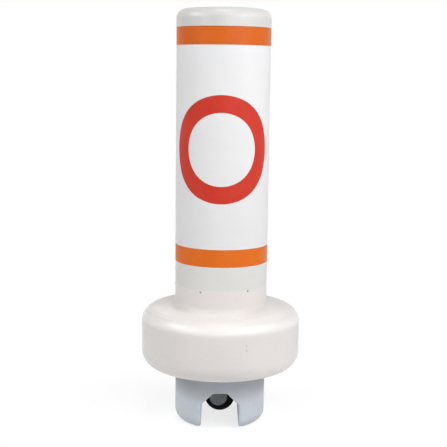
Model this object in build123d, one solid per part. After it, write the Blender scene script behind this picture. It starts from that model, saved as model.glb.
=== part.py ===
from build123d import *
from math import cos, pi, radians, sin, sqrt, tan
import os

# Marker buoy: a foam-filled column plugged into a float collar and a slotted base, with its mooring lug
# Millimetres, +Z up, origin on the floor below the column's axis, slot open to the front (-Y) and back (+Y)

# Column
column_radius = 114.3
seam_level = 350.0
label_foot_level = 407.5
label_height = 569.0
spigot_radius = 100.0
neck_spigot_length = 95.0
cap_spigot_length = 15.0
spigot_edge_radius = 3.0

# Top cap
cap_height = 46.5
cap_overhang = 1.2
cap_edge_radius = 24.5
cap_crown_radius = 2200.0

# Printed film, bands and warning rings
film_thickness = 0.4
band_height = 43.0
ring_outer_radius = 128.5
ring_inner_radius = 87.0
ring_level = 689.0
ring_arcs = 16
print_turn = 1.9  # degrees the wrapped print stands round from the slot

# Float collar
collar_radius = 197.5
collar_top_level = 291.0
collar_thickness = 160.0
collar_shoulder_radius = 37.0
collar_underside_radius = 41.5
collar_underside_slope = 10.0  # degrees the underside rises outwards
neck_fillet_radius = 14.0

# Slotted base
base_radius = 112.75
base_edge_radius = 27.5
core_top_level = 250.0
slot_width = 92.0
slot_crown_level = 94.0
slot_crown_width = 34.0
slot_haunch_level = 62.0
slot_corner_radius = 12.0
slot_foot_radius = 12.0
slot_rim_radius = 4.0
sole_trim = 1.0

# Mooring lug and the ballast that it hangs from
lug_width = 74.6
lug_thickness = 30.0
lug_tip_level = 18.5
lug_edge_radius = 9.0
lug_bore_radius = 11.0
lug_bore_level = 75.0
web_thickness = 14.0
flange_length = 120.0
flange_width = 60.0
flange_thickness = 14.0
ballast_radius = 75.0
ballast_height = 60.0

# Clearances
socket_gap = 0.3
spigot_end_gap = 1.0
pocket_gap = 0.5

# Levels and radii that follow from the sizes above
label_top_level = label_foot_level + label_height
film_radius = column_radius + film_thickness
collar_bottom_level = collar_top_level - collar_thickness
socket_radius = spigot_radius + socket_gap
web_top_level = slot_crown_level + web_thickness
ballast_bottom_level = web_top_level + flange_thickness
ballast_top_level = ballast_bottom_level + ballast_height
lug_tip_radius = lug_width / 2


def turned(outline, roundings):
    """Revolve a closed outline of radii and levels about the axis, after rounding some of its corners."""
    face = make_face(outline)
    for radius, level, rounding in roundings:
        corner = face.vertices().sort_by_distance((radius, level, 0))[0]
        face = fillet(corner, rounding)
    return revolve(Plane.XZ * face, Axis.Z)


def disc(radius, bottom, top):
    """Upright cylinder between two levels."""
    return Pos(0, 0, bottom) * extrude(Circle(radius), top - bottom)


def film_tube(bottom, top):
    """Film wrapped once round the column."""
    return disc(film_radius, bottom, top) - disc(column_radius, bottom, top)


def wrapped_disc(radius, side):
    """Block that cuts a true disc out of the wrapped film, at the front (-1) or the back (1)."""
    steps = 2 * ring_arcs

    def point(step):
        turn = 2 * pi * step / steps
        return (film_radius * sin(radius * cos(turn) / film_radius), ring_level + radius * sin(turn))

    arcs = [ThreePointArc(point(i), point(i + 1), point((i + 2) % steps)) for i in range(0, steps, 2)]
    return Rot(0, 0, -print_turn) * extrude(Plane.XZ * make_face(arcs), -side * 2 * film_radius)


def make_column():
    """Upright with a plug spigot at each end."""
    foot = seam_level - neck_spigot_length
    head = label_top_level + cap_spigot_length
    outline = Polyline(
        (0, foot),
        (spigot_radius, foot),
        (spigot_radius, seam_level),
        (column_radius, seam_level),
        (column_radius, label_top_level),
        (spigot_radius, label_top_level),
        (spigot_radius, head),
        (0, head),
        close=True,
    )
    roundings = [
        (spigot_radius, foot, spigot_edge_radius),
        (spigot_radius, head, spigot_edge_radius),
    ]
    return turned(outline, roundings)


def make_top_cap():
    """Crowned cap over the upper spigot, standing a little proud of the film."""
    cap_radius = column_radius + cap_overhang
    crown_level = label_top_level + cap_height
    edge_level = crown_level - cap_crown_radius + sqrt(cap_crown_radius**2 - cap_radius**2)
    socket_level = label_top_level + cap_spigot_length + spigot_end_gap
    sides = Polyline(
        (0, crown_level),
        (0, socket_level),
        (socket_radius, socket_level),
        (socket_radius, label_top_level),
        (cap_radius, label_top_level),
        (cap_radius, edge_level),
    )
    crown = RadiusArc((cap_radius, edge_level), (0, crown_level), -cap_crown_radius)
    return turned(sides + crown, [(cap_radius, edge_level, cap_edge_radius)])


def make_float_collar():
    """Rounded float ring with a neck, bored for the base's core below and the column's spigot above."""
    core_radius = base_radius + socket_gap
    corner_level = collar_bottom_level + (collar_radius - core_radius) * tan(radians(collar_underside_slope))
    outline = Polyline(
        (socket_radius, seam_level),
        (column_radius, seam_level),
        (column_radius, collar_top_level),
        (collar_radius, collar_top_level),
        (collar_radius, corner_level),
        (core_radius, collar_bottom_level),
        (core_radius, core_top_level),
        (socket_radius, core_top_level),
        close=True,
    )
    roundings = [
        (column_radius, collar_top_level, neck_fillet_radius),
        (collar_radius, collar_top_level, collar_shoulder_radius),
        (collar_radius, corner_level, collar_underside_radius),
    ]
    return turned(outline, roundings)


def slot_block():
    """Slot with haunched upper corners, whose walls flare out to the untrimmed foot of the base."""
    half = slot_width / 2
    half_crown = slot_crown_width / 2
    flare = half + slot_foot_radius
    flare_start = slot_foot_radius - sole_trim
    foot_arcs = [
        RadiusArc((side * half, flare_start), (side * flare, -sole_trim), -side * slot_foot_radius)
        for side in (-1, 1)
    ]
    arch = Polyline(
        (-half, flare_start),
        (-half, slot_haunch_level),
        (-half_crown, slot_crown_level),
        (half_crown, slot_crown_level),
        (half, slot_haunch_level),
        (half, flare_start),
    )
    foot_line = Line((-flare, -sole_trim), (flare, -sole_trim))
    face = make_face([*foot_arcs, arch, foot_line])
    for x, level in [(half, slot_haunch_level), (half_crown, slot_crown_level)]:
        for side in (-1, 1):
            corner = face.vertices().sort_by_distance((side * x, level, 0))[0]
            face = fillet(corner, slot_corner_radius)
    return extrude(Plane.XZ * face, 2 * base_radius, both=True)


def lug_outline(margin):
    """U-shaped tongue seen from the front, grown by a margin all round, up to the top of the web."""
    radius = lug_tip_radius + margin
    centre_level = lug_tip_level + lug_tip_radius
    tip = ThreePointArc((-radius, centre_level), (0, centre_level - radius), (radius, centre_level))
    sides = Polyline(
        (radius, centre_level),
        (radius, web_top_level),
        (-radius, web_top_level),
        (-radius, centre_level),
    )
    return Plane.XZ * make_face([tip, sides])


def slot_rim(body):
    """Edges where the slot comes out through the rounded outside of the base."""
    reach = slot_width / 2 + slot_foot_radius
    beside_slot = body.edges().filter_by_position(Axis.X, -reach, reach)
    beside_slot = beside_slot.filter_by_position(Axis.Z, 0, web_top_level)
    return beside_slot.filter_by(lambda edge: abs(edge.center().Y) > base_radius / 2)


def make_base():
    """Core and two feet with trimmed flat soles, and closed pockets for the lug's flange and the ballast."""
    outline = Polyline(
        (0, -sole_trim),
        (base_radius, -sole_trim),
        (base_radius, core_top_level),
        (0, core_top_level),
        close=True,
    )
    body = turned(outline, [(base_radius, -sole_trim, base_edge_radius)]) - slot_block()
    body = split(body, Plane.XY, keep=Keep.TOP)
    body = fillet(slot_rim(body), slot_rim_radius)
    web_hole = extrude(lug_outline(pocket_gap), lug_thickness / 2 + pocket_gap, both=True)
    flange_pocket = Pos(0, 0, web_top_level) * Box(
        flange_length + 2 * pocket_gap,
        flange_width + 2 * pocket_gap,
        flange_thickness,
        align=(Align.CENTER, Align.CENTER, Align.MIN),
    )
    ballast_pocket = disc(ballast_radius + pocket_gap, ballast_bottom_level, ballast_top_level + pocket_gap)
    return body - web_hole - flange_pocket - ballast_pocket


def make_mooring_lug():
    """Cast tongue with rounded edges and a cross bore, on a flange caught under the ballast."""
    tongue = extrude(lug_outline(0), lug_thickness / 2, both=True)
    top_edges = tongue.faces().sort_by(Axis.Z)[-1].edges()
    rim = [edge for edge in tongue.faces().filter_by(Axis.Y).edges() if edge not in top_edges]
    tongue = fillet(rim, lug_edge_radius)
    flange = Pos(0, 0, web_top_level) * Box(
        flange_length, flange_width, flange_thickness, align=(Align.CENTER, Align.CENTER, Align.MIN)
    )
    bore = Pos(0, 0, lug_bore_level) * Rot(90, 0, 0) * Cylinder(lug_bore_radius, 2 * lug_thickness)
    return tongue + flange - bore


def save(shape, node):
    export_step(shape, "parts/" + node + ".step")


os.makedirs("parts", exist_ok=True)
save(make_column(), "column")
save(make_top_cap(), "top_cap")
save(make_float_collar(), "float_collar")
save(make_base(), "slotted_base")
save(make_mooring_lug(), "mooring_lug")
save(disc(ballast_radius, ballast_bottom_level, ballast_top_level), "ballast_block")

# Orange bands at the foot and the head of the print: node, bottom level
bands = [
    ("lower_band", label_foot_level),
    ("upper_band", label_top_level - band_height),
]
for node, bottom in bands:
    save(film_tube(bottom, bottom + band_height), node)

# Red warning rings, flush in openings of the white film: node, side of the column
film = film_tube(label_foot_level + band_height, label_top_level - band_height)
rings = [
    ("front_ring", -1),
    ("back_ring", 1),
]
white_film = film
for node, side in rings:
    ring_block = wrapped_disc(ring_outer_radius, side) - wrapped_disc(ring_inner_radius, side)
    save(film & ring_block, node)
    white_film -= ring_block
save(white_film, "white_film")
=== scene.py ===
import bmesh
import bpy
import math
from mathutils import Matrix, Vector


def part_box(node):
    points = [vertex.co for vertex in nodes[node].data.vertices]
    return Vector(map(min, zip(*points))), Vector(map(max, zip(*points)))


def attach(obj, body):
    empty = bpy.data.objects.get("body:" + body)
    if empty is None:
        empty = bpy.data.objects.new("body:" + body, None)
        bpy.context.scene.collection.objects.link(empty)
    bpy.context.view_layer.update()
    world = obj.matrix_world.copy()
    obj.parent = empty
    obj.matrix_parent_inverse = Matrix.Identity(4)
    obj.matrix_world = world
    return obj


# Marker buoy parked on its two feet. Metres, +Z up, the slot of the base open to the front (-Y) and the back.

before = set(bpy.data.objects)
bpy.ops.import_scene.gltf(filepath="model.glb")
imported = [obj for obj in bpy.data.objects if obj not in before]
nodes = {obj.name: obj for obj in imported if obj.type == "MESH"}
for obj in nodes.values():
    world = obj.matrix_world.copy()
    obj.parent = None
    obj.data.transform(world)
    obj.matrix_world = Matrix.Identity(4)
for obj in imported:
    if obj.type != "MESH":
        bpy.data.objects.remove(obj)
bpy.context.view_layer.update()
print("stage: frame loaded,", len(nodes), "nodes")


# Small helpers for node trees. An input takes a value or the socket of another node.
def addNode(tree, kind, inputs=None, **settings):
    node = tree.nodes.new(kind)
    for name, value in settings.items():
        setattr(node, name, value)
    for name, value in (inputs or {}).items():
        if isinstance(value, bpy.types.NodeSocket):
            tree.links.new(value, node.inputs[name])
        else:
            node.inputs[name].default_value = value
    return node


def calculate(tree, operation, first, second=0.0, clamp=False):
    node = addNode(tree, "ShaderNodeMath", {0: first, 1: second}, operation=operation, use_clamp=clamp)
    return node.outputs[0]


def product(tree, result, *factors):
    for factor in factors:
        result = calculate(tree, "MULTIPLY", result, factor)
    return result


def total(tree, result, *addends):
    for addend in addends:
        result = calculate(tree, "ADD", result, addend)
    return result


def scaled(tree, vector, factors):
    return addNode(tree, "ShaderNodeVectorMath", {0: vector, 1: factors}, operation="MULTIPLY").outputs[0]


def lengthOf(tree, vector):
    return addNode(tree, "ShaderNodeVectorMath", {0: vector}, operation="LENGTH").outputs["Value"]


def axesOf(tree, vector):
    return addNode(tree, "ShaderNodeSeparateXYZ", {0: vector}).outputs


def surfaceNormal(tree):
    return addNode(tree, "ShaderNodeNewGeometry").outputs["Normal"]


def blendColours(tree, factor, first, second):
    # A Mix node's factor and two colours are its inputs 0, 6 and 7, and the colour it makes is output 2
    return addNode(tree, "ShaderNodeMix", {0: factor, 6: first, 7: second}, data_type="RGBA").outputs[2]


def ramp(tree, value, low, high, lowResult=0.0, highResult=1.0):
    inputs = {"Value": value, "From Min": low, "From Max": high, "To Min": lowResult, "To Max": highResult}
    return addNode(tree, "ShaderNodeMapRange", inputs, interpolation_type="SMOOTHSTEP").outputs[0]


def fadeOut(tree, value, low, high):
    return ramp(tree, value, low, high, 1.0, 0.0)


def noise(tree, vector, scale, detail=3.0, roughness=0.5):
    inputs = {"Vector": vector, "Scale": scale, "Detail": detail, "Roughness": roughness}
    return addNode(tree, "ShaderNodeTexNoise", inputs).outputs[0]


def centred(tree, value):
    return calculate(tree, "SUBTRACT", value, 0.5)  # a noise swings about its middle


def newGroup(name, inputs, outputs, kind="ShaderNodeTree"):
    # A node group whose sockets are given as labels with their types
    tree = bpy.data.node_groups.new(name, kind)
    for way, sockets in (("INPUT", inputs), ("OUTPUT", outputs)):
        for label, socketType in sockets.items():
            tree.interface.new_socket(label, in_out=way, socket_type="NodeSocket" + socketType)
    return tree, addNode(tree, "NodeGroupInput").outputs


def placeGroup(tree, group, inputs):
    return addNode(tree, "ShaderNodeGroup", inputs, node_tree=group).outputs


def newMaterial(name):
    material = bpy.data.materials.new(name)
    material.use_nodes = True
    tree = material.node_tree
    tree.nodes.clear()
    return material, tree, addNode(tree, "ShaderNodeTexCoord").outputs["Object"]


def finishMaterial(tree, colour, roughness, height, bump, others):
    # The height is in bump distances; others are further inputs of the shader
    relief = addNode(tree, "ShaderNodeBump", {"Height": height, "Strength": 1.0, "Distance": bump}).outputs[0]
    inputs = {"Base Color": colour, "Roughness": roughness, "Normal": relief, **others}
    shader = addNode(tree, "ShaderNodeBsdfPrincipled", inputs).outputs[0]
    addNode(tree, "ShaderNodeOutputMaterial", {0: shader})


def wear(material, *names):
    for name in names:
        nodes[name].data.materials.clear()
        nodes[name].data.materials.append(material)


# Skin of rotary-moulded plastic: faint cloudy tone, orange peel, fine grain and slow waves
skinDetail = {
    "clouds": {"scale": 9.0, "detail": 5.0, "roughness": 0.6},
    "cloudEdges": (0.35, 0.7),
    "cloudAmount": 0.4,
    "peel": {"scale": 260.0, "detail": 2.0},
    "peelHeight": 0.35,
    "peelDulling": 0.18,
    "grain": {"scale": 1900.0, "detail": 2.0},
    "grainHeight": 0.1,
    "waves": {"scale": 34.0, "detail": 2.0},
}


def makeMouldedSkin():
    tree, given = newGroup(
        "mouldedSkin",
        {"Position": "Vector", "Colour": "Color", "Cloud Colour": "Color", "Roughness": "Float"},
        {"Colour": "Color", "Roughness": "Float", "Height": "Float"},
    )
    clouds = ramp(tree, noise(tree, given["Position"], **skinDetail["clouds"]), *skinDetail["cloudEdges"])
    cloudy = product(tree, clouds, skinDetail["cloudAmount"])
    peel = noise(tree, given["Position"], **skinDetail["peel"])
    grain = noise(tree, given["Position"], **skinDetail["grain"])
    waves = noise(tree, given["Position"], **skinDetail["waves"])
    peelHeight = product(tree, peel, skinDetail["peelHeight"])
    grainHeight = product(tree, grain, skinDetail["grainHeight"])
    dulling = product(tree, centred(tree, peel), skinDetail["peelDulling"])
    addNode(tree, "NodeGroupOutput", {
        "Colour": blendColours(tree, cloudy, given["Colour"], given["Cloud Colour"]),
        "Roughness": calculate(tree, "ADD", given["Roughness"], dulling, clamp=True),
        "Height": total(tree, peelHeight, grainHeight, waves),
    })
    return tree


# Thin rubbed lines along a surface: a mask, strongest where the lines cross patches of handling
scuffDetail = {
    "lines": {"scale": 1.0, "detail": 2.0},
    "lineEdges": (0.62, 0.72),
    "patches": {"scale": 11.0, "detail": 2.0},
    "patchEdges": (0.48, 0.66),
    "depth": 0.3,
}


def makeScuffs():
    tree, given = newGroup(
        "scuffs", {"Position": "Vector", "Stretch": "Vector", "Reach": "Float"}, {"Mask": "Float"}
    )
    stretched = scaled(tree, given["Position"], given["Stretch"])
    lines = ramp(tree, noise(tree, stretched, **scuffDetail["lines"]), *scuffDetail["lineEdges"])
    patches = ramp(tree, noise(tree, given["Position"], **scuffDetail["patches"]), *scuffDetail["patchEdges"])
    addNode(tree, "NodeGroupOutput", {"Mask": product(tree, lines, patches, given["Reach"])})
    return tree


# Fine dust that settles where a surface faces up
dustDetail = {
    "slopes": (0.35, 1.0),
    "specks": {"scale": 40.0, "detail": 3.0, "roughness": 0.5},
    "speckEdges": (0.3, 0.75),
    "thinnest": 0.7,  # share of the dust that lies between the specks
}


def makeDust():
    tree, given = newGroup("settledDust", {"Position": "Vector", "Amount": "Float"}, {"Mask": "Float"})
    upward = ramp(tree, axesOf(tree, surfaceNormal(tree))["Z"], *dustDetail["slopes"])
    specks = noise(tree, given["Position"], **dustDetail["specks"])
    thickness = ramp(tree, specks, *dustDetail["speckEdges"], dustDetail["thinnest"], 1.0)
    addNode(tree, "NodeGroupOutput", {"Mask": product(tree, upward, thickness, given["Amount"])})
    return tree


# Ink on vinyl film: slight change of density, and soil gathered along the film's two edges
inkDetail = {
    "density": {"scale": 16.0, "detail": 5.0, "roughness": 0.65},
    "densityEdges": (0.3, 0.72),
    "dots": {"scale": 2400.0, "detail": 1.0},
    "dotShare": 0.5,
    "soilColour": (0.30, 0.28, 0.25, 1.0),
    "soilWidth": 0.0016,
    "breaks": {"scale": 60.0, "detail": 3.0},
    "breakEdges": (0.4, 0.65),
    "ripple": {"scale": 22.0, "detail": 2.0},
    "rippleHeight": 0.8,
    "weave": {"scale": 1500.0, "detail": 1.0},
    "weaveHeight": 0.05,
    "handling": {"scale": 7.0, "detail": 4.0},
    "handlingEdges": (0.35, 0.75),
    "roughness": (0.4, 0.48),
}


def makePrintInk():
    tree, given = newGroup(
        "printInk",
        {
            "Position": "Vector",
            "Ink": "Color",
            "Faded Ink": "Color",
            "Low Edge": "Float",
            "High Edge": "Float",
            "Soil": "Float",
        },
        {"Colour": "Color", "Roughness": "Float", "Height": "Float"},
    )
    density = ramp(tree, noise(tree, given["Position"], **inkDetail["density"]), *inkDetail["densityEdges"])
    dots = product(tree, noise(tree, given["Position"], **inkDetail["dots"]), inkDetail["dotShare"])
    fading = product(tree, density, total(tree, dots, 1.0 - inkDetail["dotShare"]))
    ink = blendColours(tree, fading, given["Ink"], given["Faded Ink"])
    level = axesOf(tree, given["Position"])["Z"]
    fromLow = calculate(tree, "ABSOLUTE", calculate(tree, "SUBTRACT", level, given["Low Edge"]))
    fromHigh = calculate(tree, "ABSOLUTE", calculate(tree, "SUBTRACT", level, given["High Edge"]))
    edge = fadeOut(tree, calculate(tree, "MINIMUM", fromLow, fromHigh), 0.0, inkDetail["soilWidth"])
    breaks = ramp(tree, noise(tree, given["Position"], **inkDetail["breaks"]), *inkDetail["breakEdges"])
    ripple = product(tree, noise(tree, given["Position"], **inkDetail["ripple"]), inkDetail["rippleHeight"])
    weave = product(tree, noise(tree, given["Position"], **inkDetail["weave"]), inkDetail["weaveHeight"])
    handling = noise(tree, given["Position"], **inkDetail["handling"])
    soil = product(tree, edge, breaks, given["Soil"])
    addNode(tree, "NodeGroupOutput", {
        "Colour": blendColours(tree, soil, ink, inkDetail["soilColour"]),
        "Roughness": ramp(tree, handling, *inkDetail["handlingEdges"], *inkDetail["roughness"]),
        "Height": total(tree, ripple, weave),
    })
    return tree


mouldedSkin = makeMouldedSkin()
scuffs = makeScuffs()
settledDust = makeDust()
printInk = makePrintInk()
print("stage: shared effects done")


# Finishes of the moulded pieces
columnFinish = {
    "colour": (0.768, 0.765, 0.740, 1.0),
    "cloudColour": (0.707, 0.707, 0.688, 1.0),
    "scuffColour": (0.42, 0.42, 0.41, 1.0),
    "dustColour": (0.55, 0.53, 0.48, 1.0),
    "roughness": 0.42,
    "gloss": 0.4,
    "scuffStretch": (900.0, 900.0, 22.0),  # the scuffs run along the axis with the least stretch
    "scuffReach": 0.25,
    "dust": 0.25,
    "bump": 0.00045,
}
capFinish = {
    # greyer than the column's plastic: painted shade for the dimmer light up at the cap
    "colour": (0.662, 0.655, 0.640, 1.0),
    "cloudColour": (0.606, 0.603, 0.588, 1.0),
    "scuffColour": (0.42, 0.42, 0.41, 1.0),
    "dustColour": (0.50, 0.49, 0.46, 1.0),
    "roughness": 0.30,
    "gloss": 0.4,
    "scuffStretch": (60.0, 60.0, 900.0),
    "scuffReach": 0.15,
    # heavy dust: partly real dust, partly painted shade darkening the cap's top
    "dust": 0.5,
    "bump": 0.00006,
}
collarFinish = {
    # warmer and paler than the column's plastic: partly the collar's own tint, partly painted warm light
    "colour": (0.828, 0.790, 0.766, 1.0),
    "cloudColour": (0.768, 0.733, 0.717, 1.0),
    "scuffColour": (0.45, 0.43, 0.41, 1.0),
    "dustColour": (0.60, 0.56, 0.50, 1.0),
    "roughness": 0.42,
    "gloss": 0.4,
    "scuffStretch": (40.0, 40.0, 1100.0),
    "scuffReach": 0.2,
    "dust": 0.05,
    "bump": 0.0005,
    # painted highlight: a paler band round the shoulder
    "shoulderHighlightColour": (0.97, 0.95, 0.93, 1.0),
    "shoulderHighlightAmount": 0.66,
    "shoulderStart": (0.06, 0.34),  # how much the surface faces up: 0 on a wall, 1 on level ground
    "shoulderEnd": (0.4, 0.95),
    "shoulderRadius": 0.155,
    "shoulderBlur": 0.01,
    "polishEnd": (0.75, 0.95),
    "polish": 0.6,  # what it leaves of the roughness
    # painted shade in the fold where the neck meets the collar
    "foldShadeColour": (0.62, 0.58, 0.55, 1.0),
    "foldShadeAmount": 0.4,
    "foldSlopes": (0.1, 0.6),
    "foldRadii": (0.1160, 0.1330),
}
baseFinish = {
    # darker and bluish: partly the base's light grey plastic, partly painted cool shade below the collar
    "colour": (0.640, 0.686, 0.750, 1.0),
    "cloudColour": (0.588, 0.632, 0.680, 1.0),
    "scuffColour": (0.30, 0.31, 0.32, 1.0),
    "dustColour": (0.45, 0.44, 0.42, 1.0),
    "roughness": 0.5,
    "gloss": 0.4,
    "scuffStretch": (700.0, 700.0, 30.0),
    "scuffReach": 0.2,
    "dust": 0.1,
    "bump": 0.0006,
    # painted shade of the collar, darkening the top of the base
    "underCollarShadeColour": (0.40, 0.42, 0.45, 1.0),
    "underCollarShadeAmount": 0.56,
    "underCollarShadeLevels": (0.062, 0.092),
    "underCollarShadeWander": {"scale": 14.0},
    "underCollarShadeWanderHeight": 0.02,
}


def addShoulder(tree, position, colour, roughness):
    # A paler band of painted highlight lies on the collar's shoulder, its outside is glossier, and painted
    # shade darkens the fold at the neck
    finish = collarFinish
    upward = axesOf(tree, surfaceNormal(tree))["Z"]
    radius = lengthOf(tree, scaled(tree, position, (1.0, 1.0, 0.0)))
    blur = finish["shoulderBlur"]
    outside = ramp(tree, radius, finish["shoulderRadius"] - blur, finish["shoulderRadius"] + blur)
    turning = ramp(tree, upward, *finish["shoulderStart"])
    turned = fadeOut(tree, upward, *finish["shoulderEnd"])
    # Painted highlight on the shoulder
    shoulderHighlight = product(tree, turning, turned, outside, finish["shoulderHighlightAmount"])
    colour = blendColours(tree, shoulderHighlight, colour, finish["shoulderHighlightColour"])
    # Painted shade in the fold at the neck
    rising = ramp(tree, upward, *finish["foldSlopes"])
    foldShade = product(tree, rising, fadeOut(tree, radius, *finish["foldRadii"]), finish["foldShadeAmount"])
    colour = blendColours(tree, foldShade, colour, finish["foldShadeColour"])
    polished = product(tree, outside, fadeOut(tree, upward, *finish["polishEnd"]))
    return colour, product(tree, roughness, ramp(tree, polished, 0.0, 1.0, 1.0, finish["polish"]))


def addUnderCollarShade(tree, position, colour, roughness):
    # Painted shade: the base is darkened close under the collar, with a wandering lower edge
    wander = centred(tree, noise(tree, position, **baseFinish["underCollarShadeWander"]))
    level = total(tree, axesOf(tree, position)["Z"], product(tree, wander, baseFinish["underCollarShadeWanderHeight"]))
    paintedShade = product(tree, ramp(tree, level, *baseFinish["underCollarShadeLevels"]), baseFinish["underCollarShadeAmount"])
    return blendColours(tree, paintedShade, colour, baseFinish["underCollarShadeColour"]), roughness


def makePlastic(name, finish, extra=None):
    material, tree, position = newMaterial(name)
    skin = placeGroup(tree, mouldedSkin, {
        "Position": position,
        "Colour": finish["colour"],
        "Cloud Colour": finish["cloudColour"],
        "Roughness": finish["roughness"],
    })
    scuffed = placeGroup(tree, scuffs, {
        "Position": position,
        "Stretch": finish["scuffStretch"],
        "Reach": finish["scuffReach"],
    })["Mask"]
    dusty = placeGroup(tree, settledDust, {"Position": position, "Amount": finish["dust"]})["Mask"]
    colour, roughness = skin["Colour"], skin["Roughness"]
    if extra:
        colour, roughness = extra(tree, position, colour, roughness)
    colour = blendColours(tree, scuffed, colour, finish["scuffColour"])
    colour = blendColours(tree, dusty, colour, finish["dustColour"])
    height = calculate(tree, "SUBTRACT", skin["Height"], product(tree, scuffed, scuffDetail["depth"]))
    finishMaterial(tree, colour, roughness, height, finish["bump"], {"Specular IOR Level": finish["gloss"]})
    return material


wear(makePlastic("columnPlastic", columnFinish), "column")
wear(makePlastic("capPlastic", capFinish), "top_cap")
wear(makePlastic("collarPlastic", collarFinish, addShoulder), "float_collar")
wear(makePlastic("basePlastic", baseFinish, addUnderCollarShade), "slotted_base")
print("stage: moulded plastics done")


# Finishes of the printed films
filmFinish = {
    "white": {"ink": (0.832, 0.832, 0.842, 1.0), "faded": (0.810, 0.810, 0.820, 1.0)},
    "lowerOrange": {"ink": (0.76, 0.150, 0.009, 1.0), "faded": (0.80, 0.170, 0.014, 1.0)},
    # same ink as the lower band; this darker copy is painted shade for the upper band
    "upperOrange": {"ink": (0.655, 0.121, 0.007, 1.0), "faded": (0.692, 0.138, 0.011, 1.0)},
    "red": {"ink": (0.595, 0.036, 0.019, 1.0), "faded": (0.632, 0.050, 0.027, 1.0)},
    "soil": 0.35,
    "gloss": 0.22,
    "bump": 0.0002,
}
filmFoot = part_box("lower_band")[0].z
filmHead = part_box("upper_band")[1].z


def makeFilm(name, inks):
    material, tree, position = newMaterial(name)
    film = placeGroup(tree, printInk, {
        "Position": position,
        "Ink": inks["ink"],
        "Faded Ink": inks["faded"],
        "Low Edge": filmFoot,
        "High Edge": filmHead,
        "Soil": filmFinish["soil"],
    })
    gloss = {"Specular IOR Level": filmFinish["gloss"]}
    finishMaterial(tree, film["Colour"], film["Roughness"], film["Height"], filmFinish["bump"], gloss)
    return material


whiteFilm = makeFilm("whiteFilm", filmFinish["white"])
wear(whiteFilm, "white_film")
wear(makeFilm("lowerOrangeFilm", filmFinish["lowerOrange"]), "lower_band")
wear(makeFilm("upperOrangeFilm", filmFinish["upperOrange"]), "upper_band")
wear(makeFilm("redFilm", filmFinish["red"]), "front_ring", "back_ring")
print("stage: printed films done")


# Finishes of the iron pieces
lugFinish = {
    # grey of the lit middle of the face: painted light on black enamel
    "faceColour": (0.42, 0.43, 0.435, 1.0),
    "edgeColour": (0.004, 0.004, 0.004, 1.0),
    "faceRoughness": 0.62,
    "edgeRoughness": 0.6,
    "gloss": 0.08,
    "flatness": (0.985, 0.999),  # how squarely a surface faces the front or the back
    "tipLevel": 0.0558,  # middle of the round end of the grey patch on the face
    "tipRadius": 0.0225,
    "tipBlur": 0.0015,
    "offset": 0.0035,  # how far to the left the patch lies
    "smudges": {"scale": 70.0, "detail": 4.0, "roughness": 0.6},
    "smudgeEdges": (0.3, 0.75),
    "dimmestLitPatch": 0.65,
    "sand": {"scale": 900.0, "detail": 4.0, "roughness": 0.6},
    "sandHeight": 0.3,
    "swell": {"scale": 90.0, "detail": 2.0},
    "swellHeight": 0.8,
    "bump": 0.0008,
}
ballastFinish = {
    "ironColour": (0.12, 0.11, 0.10, 1.0),
    "rustColour": (0.22, 0.13, 0.08, 1.0),
    "rust": {"scale": 55.0, "detail": 6.0, "roughness": 0.7},
    "rustEdges": (0.35, 0.65),
    "dullEdges": (0.3, 0.7),
    "roughness": (0.6, 0.85),
    "metallic": 0.6,
    "pits": {"scale": 500.0, "detail": 4.0},
    "bump": 0.001,
}


def makeLugEnamel():
    # Black enamel on a sand casting, with painted light in grey on the middle of its flat faces
    material, tree, position = newMaterial("lugEnamel")
    facing = calculate(tree, "ABSOLUTE", axesOf(tree, surfaceNormal(tree))["Y"])
    place = axesOf(tree, position)
    below = calculate(tree, "MINIMUM", calculate(tree, "SUBTRACT", place["Z"], lugFinish["tipLevel"]), 0.0)
    beside = total(tree, place["X"], lugFinish["offset"])
    fromMiddle = lengthOf(tree, addNode(tree, "ShaderNodeCombineXYZ", {0: beside, 1: below}).outputs[0])
    radius, blur = lugFinish["tipRadius"], lugFinish["tipBlur"]
    middle = fadeOut(tree, fromMiddle, radius - blur, radius + blur)
    flat = product(tree, ramp(tree, facing, *lugFinish["flatness"]), middle)
    smudges = noise(tree, position, **lugFinish["smudges"])
    litPatch = product(tree, flat, ramp(tree, smudges, *lugFinish["smudgeEdges"], lugFinish["dimmestLitPatch"], 1.0))
    colour = blendColours(tree, litPatch, lugFinish["edgeColour"], lugFinish["faceColour"])
    roughness = ramp(tree, litPatch, 0.0, 1.0, lugFinish["edgeRoughness"], lugFinish["faceRoughness"])
    sand = product(tree, noise(tree, position, **lugFinish["sand"]), lugFinish["sandHeight"])
    swell = product(tree, noise(tree, position, **lugFinish["swell"]), lugFinish["swellHeight"])
    gloss = {"Specular IOR Level": lugFinish["gloss"]}
    finishMaterial(tree, colour, roughness, total(tree, sand, swell), lugFinish["bump"], gloss)
    return material


def makeBallastIron():
    material, tree, position = newMaterial("ballastIron")
    rust = noise(tree, position, **ballastFinish["rust"])
    rusty = ramp(tree, rust, *ballastFinish["rustEdges"])
    colour = blendColours(tree, rusty, ballastFinish["ironColour"], ballastFinish["rustColour"])
    roughness = ramp(tree, rust, *ballastFinish["dullEdges"], *ballastFinish["roughness"])
    pits = noise(tree, position, **ballastFinish["pits"])
    metal = {"Metallic": ballastFinish["metallic"]}
    finishMaterial(tree, colour, roughness, pits, ballastFinish["bump"], metal)
    return material


wear(makeLugEnamel(), "mooring_lug")
wear(makeBallastIron(), "ballast_block")
print("stage: iron finishes done")


# Small pieces beyond the CAD. One grain varies the colour, the roughness and the height of each.
grainEdges = (0.3, 0.7)


def makeTrim(name, finish):
    material, tree, position = newMaterial(name)
    grain = noise(tree, scaled(tree, position, finish["grain"]), 1.0, finish["grainDetail"])
    colour = blendColours(tree, grain, *finish["colours"])
    roughness = ramp(tree, grain, *grainEdges, *finish["roughness"])
    finishMaterial(tree, colour, roughness, grain, finish["bump"], {"Metallic": finish["metallic"]})
    return material


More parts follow.
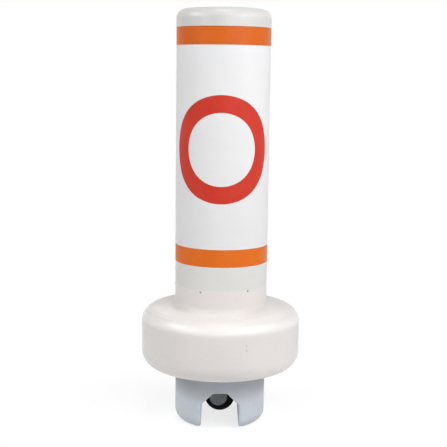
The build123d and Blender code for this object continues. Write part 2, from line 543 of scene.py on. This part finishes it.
def angles(count):
    return [2 * math.pi * i / count for i in range(count)]


def keepMesh(mesh, name):
    data = bpy.data.meshes.new(name)
    mesh.to_mesh(data)
    mesh.free()
    return data


def addObject(name, data):
    holder = bpy.data.objects.new(name, data)
    bpy.context.scene.collection.objects.link(holder)
    return holder


def addPiece(name, data, smooth=True):
    piece = addObject(name, data)
    for polygon in data.polygons:
        polygon.use_smooth = smooth
    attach(piece, "root")


# Domed head with a six-sided socket, made looking along +X
headDetail = {"sides": 24, "domeRings": 4, "domeTaper": 0.45, "sink": 0.0004}


def makeHeadMesh(name, sizes):
    sides, steps = headDetail["sides"], headDetail["domeRings"] + 1
    outlines = [(-headDetail["sink"], [sizes["headRadius"]] * sides)]
    for step in range(steps):
        turn = 0.5 * math.pi * step / steps
        radius = sizes["headRadius"] * (1 - headDetail["domeTaper"] * (1 - math.cos(turn)))
        outlines.append((sizes["headHeight"] * math.sin(turn), [radius] * sides))
    sector = math.pi / 3
    socket = [sizes["socketRadius"] / math.cos((a + sector / 2) % sector - sector / 2) for a in angles(sides)]
    outlines.append((sizes["headHeight"], socket))
    outlines.append((sizes["headHeight"] - sizes["socketDepth"], socket))
    mesh = bmesh.new()
    loops = [
        [mesh.verts.new((x, r * math.cos(a), r * math.sin(a))) for r, a in zip(radii, angles(sides))]
        for x, radii in outlines
    ]
    for outer, inner in zip(loops, loops[1:]):
        for i in range(sides):
            j = (i + 1) % sides
            mesh.faces.new((outer[i], outer[j], inner[j], inner[i]))
    mesh.faces.new(loops[-1])
    mesh.faces.new(reversed(loops[0]))
    bmesh.ops.recalc_face_normals(mesh, faces=mesh.faces[:])
    return keepMesh(mesh, name)


def makeStudTree():
    # Sets Count copies of the given head round a turned surface, on two levels by turns
    inputs = {
        "Head": "Geometry",
        "Count": "Int",
        "Radius": "Float",
        "Level": "Float",
        "Level Step": "Float",
        "First Angle": "Float",
        "Angle Step": "Float",
        "Material": "Material",
    }
    tree, given = newGroup("studsOnRound", inputs, {"Studs": "Geometry"}, "GeometryNodeTree")
    index = addNode(tree, "GeometryNodeInputIndex").outputs[0]
    turn = total(tree, given["First Angle"], product(tree, index, given["Angle Step"]))
    row = calculate(tree, "MODULO", index, 2.0)
    level = total(tree, given["Level"], product(tree, row, given["Level Step"]))
    across = product(tree, calculate(tree, "COSINE", turn), given["Radius"])
    along = product(tree, calculate(tree, "SINE", turn), given["Radius"])
    place = addNode(tree, "ShaderNodeCombineXYZ", {0: across, 1: along, 2: level}).outputs[0]
    points = addNode(tree, "GeometryNodePoints", {"Count": given["Count"], "Position": place}).outputs[0]
    facing = addNode(tree, "ShaderNodeCombineXYZ", {2: turn}).outputs[0]
    rotation = addNode(tree, "FunctionNodeEulerToRotation", {0: facing}).outputs[0]
    copied = {"Points": points, "Instance": given["Head"], "Rotation": rotation}
    copies = addNode(tree, "GeometryNodeInstanceOnPoints", copied).outputs[0]
    real = addNode(tree, "GeometryNodeRealizeInstances", {0: copies}).outputs[0]
    painted = addNode(tree, "GeometryNodeSetMaterial", {"Geometry": real, "Material": given["Material"]})
    addNode(tree, "NodeGroupOutput", {"Studs": painted.outputs[0]})
    return tree


def makeStuds(name, sizes, material):
    # Runs the stud tree on a head and keeps the plain mesh that it makes
    holder = addObject(name + "Holder", makeHeadMesh(name + "Head", sizes))
    modifier = holder.modifiers.new("studs", "NODES")
    modifier.node_group = studTree
    values = {
        "Count": sizes["count"],
        "Radius": sizes["radius"],
        "Level": sizes["level"],
        "Level Step": sizes["levelStep"],
        "First Angle": math.radians(sizes["firstAngle"] - 90.0),
        "Angle Step": math.radians(sizes["angleStep"]),
        "Material": material,
    }
    for item in studTree.interface.items_tree:
        if item.in_out == "INPUT" and item.name in values:
            modifier[item.identifier] = values[item.name]
    bpy.context.view_layer.update()
    graph = bpy.context.evaluated_depsgraph_get()
    data = bpy.data.meshes.new_from_object(holder.evaluated_get(graph))
    data.name = name
    bpy.data.objects.remove(holder)
    addPiece(name, data, smooth=False)


# Screws round the neck and plugs in the collar's wall. Angles are in degrees, from the front to the right.
neckScrews = {
    "count": 6,
    "radius": 0.1143,
    "level": 0.3448,
    "levelStep": 0.0024,  # every other screw sits this much higher
    "firstAngle": -25.9,
    "angleStep": 60.0,
    "headRadius": 0.0026,
    "headHeight": 0.0005,
    "socketRadius": 0.0012,
    "socketDepth": 0.0004,
    "colours": ((0.30, 0.305, 0.31, 1.0), (0.42, 0.425, 0.43, 1.0)),
    "grain": (400.0, 400.0, 4000.0),
    "grainDetail": 2.0,
    "roughness": (0.35, 0.55),
    "metallic": 0.9,
    "bump": 0.00008,
}
collarPlugs = {
    "count": 2,
    "radius": 0.1975,
    "level": 0.2363,
    "levelStep": -0.0111,
    "firstAngle": 18.0,
    "angleStep": 0.0,
    "headRadius": 0.0030,
    "headHeight": 0.0007,
    "socketRadius": 0.0009,
    "socketDepth": 0.0004,
    "colours": ((0.66, 0.635, 0.61, 1.0), (0.72, 0.69, 0.67, 1.0)),
    "grain": (800.0, 800.0, 800.0),
    "grainDetail": 3.0,
    "roughness": (0.45, 0.6),
    "metallic": 0.0,
    "bump": 0.0001,
}
studTree = makeStudTree()
makeStuds("neckScrews", neckScrews, makeTrim("screwSteel", neckScrews))
makeStuds("collarPlugs", collarPlugs, makeTrim("plugPlastic", collarPlugs))
print("stage: screws and plugs done")


# Trim swept round the axis from a closed profile of (radius, level) points
turnedDetail = {"sides": 192, "arcSteps": 6}


def makeTurned(name, profile, material):
    sides, count = turnedDetail["sides"], len(profile)
    mesh = bmesh.new()
    rings = [
        [mesh.verts.new((r * math.cos(a), r * math.sin(a), z)) for r, z in profile]
        for a in angles(sides)
    ]
    for i in range(sides):
        here, there = rings[i], rings[(i + 1) % sides]
        for j in range(count):
            k = (j + 1) % count
            mesh.faces.new((here[j], there[j], there[k], here[k]))
    bmesh.ops.recalc_face_normals(mesh, faces=mesh.faces[:])
    data = keepMesh(mesh, name)
    data.materials.append(material)
    return data


def beadProfile(bead):
    # Half round that swells out of the wall, with its back a little inside it
    points = []
    for step in range(turnedDetail["arcSteps"] + 1):
        turn = math.pi * (step / turnedDetail["arcSteps"] - 0.5)
        radius = bead["radius"] + bead["proud"] * math.cos(turn)
        points.append((radius, bead["level"] + 0.5 * bead["width"] * math.sin(turn)))
    inside = bead["radius"] - bead["proud"]
    return points + [(inside, points[-1][1]), (inside, points[0][1])]


def marginProfile(margin):
    # Thin strip on the column, from the foot of the print down
    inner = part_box("column")[1].x
    outer = inner + margin["thickness"]
    foot = filmFoot - margin["height"]
    return [(inner, foot), (outer, foot), (outer, filmFoot), (inner, filmFoot)]


# Sealant bead where the collar meets the base, and the film's pale margin below the print
baseBead = {
    "radius": 0.11275,
    "level": 0.1310,
    "width": 0.0022,
    "proud": 0.0006,
    "colours": ((0.62, 0.61, 0.59, 1.0), (0.70, 0.69, 0.67, 1.0)),
    "grain": (120.0, 120.0, 120.0),
    "grainDetail": 3.0,
    "roughness": (0.3, 0.45),
    "metallic": 0.0,
    "bump": 0.0003,
}
filmMargin = {"height": 0.0018, "thickness": 0.0003}
sealant = makeTrim("sealant", baseBead)
addPiece("baseBead", makeTurned("baseBead", beadProfile(baseBead), sealant))
marginMesh = makeTurned("filmMargin", marginProfile(filmMargin), whiteFilm)
addPiece("filmMargin", marginMesh, smooth=False)
print("stage: bead and film margin done")


# Camera, fitted to the outline of the buoy in the photograph: angles in degrees, the sensor in millimetres
photoCamera = {
    "distance": 2.5,
    "height": 0.8696,
    "turn": -0.46,
    "yaw": 0.106,
    "pitch": 8.4546,
    "roll": -0.6917,
    "focalPixels": 1015.73,
    "framePixels": 447.0,
    "sensorWidth": 36.0,
    "nearest": 0.05,
    "furthest": 100.0,
}


def turnAxes(first, second, angle):
    # Two axes at right angles, turned in their own plane
    across, along = math.cos(angle), math.sin(angle)
    return first * across - second * along, second * across + first * along


def makeCamera():
    turn, yaw, pitch, roll = (math.radians(photoCamera[key]) for key in ("turn", "yaw", "pitch", "roll"))
    ahead = Vector((-math.sin(turn), math.cos(turn), 0.0))
    right = Vector((math.cos(turn), math.sin(turn), 0.0))
    place = Vector((0.0, 0.0, photoCamera["height"])) - ahead * photoCamera["distance"]
    right, ahead = turnAxes(right, ahead, yaw)
    ahead, up = turnAxes(ahead, Vector((0.0, 0.0, 1.0)), pitch)
    right, up = turnAxes(right, up, roll)
    camera = addObject("photoCamera", bpy.data.cameras.new("photoCamera"))
    matrix = Matrix((right, up, -ahead)).transposed().to_4x4()
    matrix.translation = place
    camera.matrix_world = matrix
    camera.data.sensor_width = photoCamera["sensorWidth"]
    camera.data.lens = photoCamera["focalPixels"] * photoCamera["sensorWidth"] / photoCamera["framePixels"]
    camera.data.clip_start = photoCamera["nearest"]
    camera.data.clip_end = photoCamera["furthest"]
    bpy.context.scene.camera = camera


# Soft studio light: square panels, so many degrees round from the front and up from the level
lampAim = (0.0, 0.0, 0.5)
lamps = {
    "leftKey": {"round": -75.0, "up": 35.0, "distance": 3.5, "size": 1.3, "power": 45.5},
    "front": {"round": 15.0, "up": 20.0, "distance": 2.2, "size": 0.8, "power": 8.6},
    "top": {"round": 0.0, "up": 80.0, "distance": 2.2, "size": 0.8, "power": 10.0},
    "rightFront": {"round": 46.0, "up": 24.0, "distance": 2.2, "size": 0.4, "power": 9.7},
    "rightKey": {"round": 45.0, "up": 35.0, "distance": 2.2, "size": 0.8, "power": 10.4},
    "rightFill": {"round": 75.0, "up": 35.0, "distance": 2.2, "size": 0.8, "power": 9.5},
    "leftFront": {"round": -46.0, "up": 24.0, "distance": 2.2, "size": 0.4, "power": 6.2},
    "back": {"round": 180.0, "up": 20.0, "distance": 2.6, "size": 1.0, "power": 16.0, "glint": False},
}
plainWhite = (1.0, 1.0, 1.0, 1.0)
surroundings = {"light": plainWhite, "strength": 0.03}


def makeLamp(name, lamp):
    data = bpy.data.lights.new(name, "AREA")
    data.shape = "SQUARE"
    data.size = lamp["size"]
    data.energy = lamp["power"]
    holder = addObject(name, data)
    holder.visible_glossy = lamp.get("glint", True)
    turn, rise = math.radians(lamp["round"]), math.radians(lamp["up"])
    outward = Vector((math.sin(turn) * math.cos(rise), -math.cos(turn) * math.cos(rise), math.sin(rise)))
    facing = (-outward).to_track_quat("-Z", "Y").to_matrix().to_4x4()
    holder.matrix_world = Matrix.Translation(Vector(lampAim) + outward * lamp["distance"]) @ facing


def seenRays(tree):
    # One for rays from the camera, off a gloss or through glass
    path = addNode(tree, "ShaderNodeLightPath").outputs
    seen = calculate(tree, "MAXIMUM", path["Is Camera Ray"], path["Is Glossy Ray"])
    return calculate(tree, "MAXIMUM", seen, path["Is Transmission Ray"])


def makeWorld():
    world = bpy.data.worlds.new("studio")
    world.use_nodes = True
    tree = world.node_tree
    tree.nodes.clear()
    dim = {0: surroundings["light"], 1: surroundings["strength"]}
    light = addNode(tree, "ShaderNodeBackground", dim).outputs[0]
    white = addNode(tree, "ShaderNodeBackground", {0: plainWhite, 1: 1.0}).outputs[0]
    mixed = addNode(tree, "ShaderNodeMixShader", {0: seenRays(tree), 1: light, 2: white}).outputs[0]
    addNode(tree, "ShaderNodeOutputWorld", {0: mixed})
    bpy.context.scene.world = world


# Pale floor: it shows the buoy's shadow near by, and is plain white further off
floorFinish = {
    "radius": 30.0,
    "segments": 96,
    "shadowRadius": 0.22,
    "whiteRadius": 0.55,
    "paper": (0.4, 0.4, 0.4, 1.0),
    "glow": 0.72,
    "bounce": (0.8, 0.8, 0.8, 1.0),
}


def makeFloorPaper():
    material, tree, position = newMaterial("floorPaper")
    bounce = addNode(tree, "ShaderNodeBsdfDiffuse", {0: floorFinish["bounce"]}).outputs[0]
    paper = addNode(tree, "ShaderNodeBsdfDiffuse", {0: floorFinish["paper"]}).outputs[0]
    glow = addNode(tree, "ShaderNodeEmission", {0: plainWhite, 1: floorFinish["glow"]}).outputs[0]
    white = addNode(tree, "ShaderNodeEmission", {0: plainWhite, 1: 1.0}).outputs[0]
    near = addNode(tree, "ShaderNodeAddShader", {0: paper, 1: glow}).outputs[0]
    far = ramp(tree, lengthOf(tree, position), floorFinish["shadowRadius"], floorFinish["whiteRadius"])
    shown = addNode(tree, "ShaderNodeMixShader", {0: far, 1: near, 2: white}).outputs[0]
    mixed = addNode(tree, "ShaderNodeMixShader", {0: seenRays(tree), 1: bounce, 2: shown}).outputs[0]
    addNode(tree, "ShaderNodeOutputMaterial", {0: mixed})
    return material


def makeFloor():
    mesh = bmesh.new()
    segments, radius = floorFinish["segments"], floorFinish["radius"]
    bmesh.ops.create_circle(mesh, cap_ends=True, segments=segments, radius=radius)
    floor = addObject("floor", keepMesh(mesh, "floor"))
    floor.data.materials.append(makeFloorPaper())


makeCamera()
for name, lamp in lamps.items():
    makeLamp(name, lamp)
makeWorld()
makeFloor()
bpy.context.scene.view_settings.view_transform = "Standard"
print("stage: camera, light and floor done")
